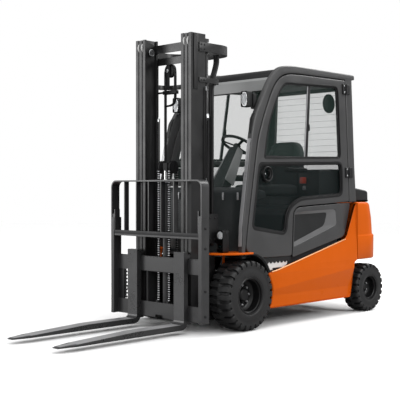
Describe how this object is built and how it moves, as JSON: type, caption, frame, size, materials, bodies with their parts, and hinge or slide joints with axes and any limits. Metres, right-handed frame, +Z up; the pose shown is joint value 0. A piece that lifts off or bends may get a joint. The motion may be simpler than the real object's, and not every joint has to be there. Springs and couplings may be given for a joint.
{
  "type": "forklift",
  "caption": "Counterbalance forklift with an enclosed cab, a tilting three-stage mast, a fork carriage with load backrest, and steered rear wheels, for lifting and carrying pallet loads.",
  "frame": {"origin": "centre of the footprint on the floor, under the middle of the truck's overall length with its forks", "axes": "X to the truck's left, seen from the driver's seat; Y to the rear, so the forks point along -Y; Z up"},
  "size_m": [1.234, 3.7973, 2.45],
  "materials": {
    "orange_paint": "gloss",
    "grey_plastic": "satin",
    "black_steel": "satin",
    "mast_steel": "satin",
    "fork_steel": "satin",
    "cast_iron": "satin",
    "chromed_rod": "polished",
    "tyre_rubber": "matte",
    "black_rim": "satin",
    "black_plastic": "satin",
    "seat_fabric": "matte",
    "tinted_glass": "clear",
    "battery_case": "satin"
  },
  "bodies": {
    "truck": {"chassis": "black_steel", "battery": "battery_case", "counterweight": "orange_paint", "flank_left": "orange_paint", "flank_right": "orange_paint", "fender_left": "orange_paint", "fender_right": "orange_paint", "floor_plate": "black_steel", "front_cowl": "black_plastic", "hood_panel_left": "grey_plastic", "hood_panel_right": "grey_plastic", "hood_deck": "black_plastic", "rear_cover": "black_plastic", "roof_panel": "black_plastic", "windscreen": "tinted_glass", "rear_frame": "grey_plastic", "rear_window": "tinted_glass", "steering_column": "black_plastic", "seat_cushion": "seat_fabric", "seat_back": "seat_fabric", "headlight_left": "black_plastic", "headlight_right": "black_plastic", "work_lamp_left": "black_plastic", "work_lamp_right": "black_plastic", "drive_axle": "cast_iron", "steer_axle": "cast_iron", "cab_side_left": "grey_plastic", "cab_side_right": "grey_plastic"},
    "wheel_front_left": {"tyre_front_left": "tyre_rubber", "rim_front_left": "black_rim"},
    "knuckle_left": {"knuckle_left": "cast_iron"},
    "wheel_rear_left": {"tyre_rear_left": "tyre_rubber", "rim_rear_left": "black_rim"},
    "door_left": {"door_left": "grey_plastic", "door_glass_upper_left": "tinted_glass", "door_glass_lower_left": "tinted_glass"},
    "wheel_front_right": {"tyre_front_right": "tyre_rubber", "rim_front_right": "black_rim"},
    "knuckle_right": {"knuckle_right": "cast_iron"},
    "wheel_rear_right": {"tyre_rear_right": "tyre_rubber", "rim_rear_right": "black_rim"},
    "door_right": {"door_right": "grey_plastic", "door_glass_upper_right": "tinted_glass", "door_glass_lower_right": "tinted_glass"},
    "steering_wheel": {"steering_wheel": "black_plastic"},
    "outer_mast": {"outer_mast": "mast_steel"},
    "middle_mast": {"middle_mast": "mast_steel"},
    "inner_mast": {"inner_mast": "mast_steel"},
    "crosshead": {"crosshead": "cast_iron"},
    "carriage": {"carriage": "mast_steel", "load_backrest": "mast_steel"},
    "fork_left": {"fork_left": "fork_steel"},
    "fork_right": {"fork_right": "fork_steel"},
    "tilt_barrel_left": {"tilt_barrel_left": "black_steel"},
    "tilt_barrel_right": {"tilt_barrel_right": "black_steel"},
    "tilt_rod_left": {"tilt_rod_left": "chromed_rod"},
    "tilt_rod_right": {"tilt_rod_right": "chromed_rod"}
  },
  "joints": [
    {"name": "wheel_front_left_spin", "type": "hinge", "parent": "truck", "child": "wheel_front_left", "pos_m": [0.5, -0.1515, 0.2925], "axis": [1, 0, 0], "continuous": true},
    {"name": "wheel_front_right_spin", "type": "hinge", "parent": "truck", "child": "wheel_front_right", "pos_m": [-0.5, -0.1515, 0.2925], "axis": [1, 0, 0], "continuous": true},
    {"name": "steer_left", "type": "hinge", "parent": "truck", "child": "knuckle_left", "pos_m": [0.385, 1.6085, 0.2285], "axis": [0, 0, 1], "range_deg": [-65, 65]},
    {"name": "wheel_rear_left_spin", "type": "hinge", "parent": "knuckle_left", "child": "wheel_rear_left", "pos_m": [0.52, 1.6085, 0.2285], "axis": [1, 0, 0], "continuous": true},
    {"name": "steer_right", "type": "hinge", "parent": "truck", "child": "knuckle_right", "pos_m": [-0.385, 1.6085, 0.2285], "axis": [0, 0, 1], "range_deg": [-65, 65]},
    {"name": "wheel_rear_right_spin", "type": "hinge", "parent": "knuckle_right", "child": "wheel_rear_right", "pos_m": [-0.52, 1.6085, 0.2285], "axis": [1, 0, 0], "continuous": true},
    {"name": "steering_wheel_turn", "type": "hinge", "parent": "truck", "child": "steering_wheel", "pos_m": [0, 0.3685, 1.58], "axis": [0, 0.5, 0.866], "continuous": true},
    {"name": "door_left_open", "type": "hinge", "parent": "truck", "child": "door_left", "pos_m": [0.55378, 1.3385, 1.33], "axis": [-0.0455, 0, 0.999], "range_deg": [0, 85]},
    {"name": "door_right_open", "type": "hinge", "parent": "truck", "child": "door_right", "pos_m": [-0.55378, 1.3385, 1.33], "axis": [-0.0455, 0, -0.999], "range_deg": [0, 85]},
    {"name": "mast_tilt", "type": "hinge", "parent": "truck", "child": "outer_mast", "pos_m": [0, -0.1515, 0.2925], "axis": [1, 0, 0], "range_deg": [-7, 6]},
    {"name": "middle_lift", "type": "slide", "parent": "outer_mast", "child": "middle_mast", "axis": [0, 0, 1], "range_m": [0, 1.55]},
    {"name": "inner_lift", "type": "slide", "parent": "middle_mast", "child": "inner_mast", "axis": [0, 0, 1], "range_m": [0, 1.55]},
    {"name": "crosshead_lift", "type": "slide", "parent": "inner_mast", "child": "crosshead", "axis": [0, 0, 1], "range_m": [0, 0.8]},
    {"name": "carriage_lift", "type": "slide", "parent": "inner_mast", "child": "carriage", "axis": [0, 0, 1], "range_m": [0, 1.6]},
    {"name": "fork_left_shift", "type": "slide", "parent": "carriage", "child": "fork_left", "axis": [1, 0, 0], "range_m": [-0.14, 0.16]},
    {"name": "fork_right_shift", "type": "slide", "parent": "carriage", "child": "fork_right", "axis": [-1, 0, 0], "range_m": [-0.14, 0.16]},
    {"name": "tilt_barrel_left_swing", "type": "hinge", "parent": "truck", "child": "tilt_barrel_left", "pos_m": [0.22, 0.2885, 0.445], "axis": [1, 0, 0], "range_deg": [-1.69, 1.46]},
    {"name": "tilt_rod_left_slide", "type": "slide", "parent": "tilt_barrel_left", "child": "tilt_rod_left", "axis": [0, -0.9951, 0.0986], "range_m": [-0.02418, 0.02076]},
    {"name": "tilt_barrel_right_swing", "type": "hinge", "parent": "truck", "child": "tilt_barrel_right", "pos_m": [-0.22, 0.2885, 0.445], "axis": [1, 0, 0], "range_deg": [-1.69, 1.46]},
    {"name": "tilt_rod_right_slide", "type": "slide", "parent": "tilt_barrel_right", "child": "tilt_rod_right", "axis": [0, -0.9951, 0.0986], "range_m": [-0.02418, 0.02076]}
  ],
  "couplings": [
    {"joint": "steer_right", "follows": "steer_left", "ratio": 1},
    {"joint": "inner_lift", "follows": "middle_lift", "ratio": 1},
    {"joint": "crosshead_lift", "follows": "carriage_lift", "ratio": 0.5},
    {"joint": "tilt_barrel_left_swing", "follows": "mast_tilt", "ratio": 0.2391},
    {"joint": "tilt_rod_left_slide", "follows": "mast_tilt", "m_per_rad": 0.1963},
    {"joint": "tilt_barrel_right_swing", "follows": "mast_tilt", "ratio": 0.2391},
    {"joint": "tilt_rod_right_slide", "follows": "mast_tilt", "m_per_rad": 0.1963}
  ]
}
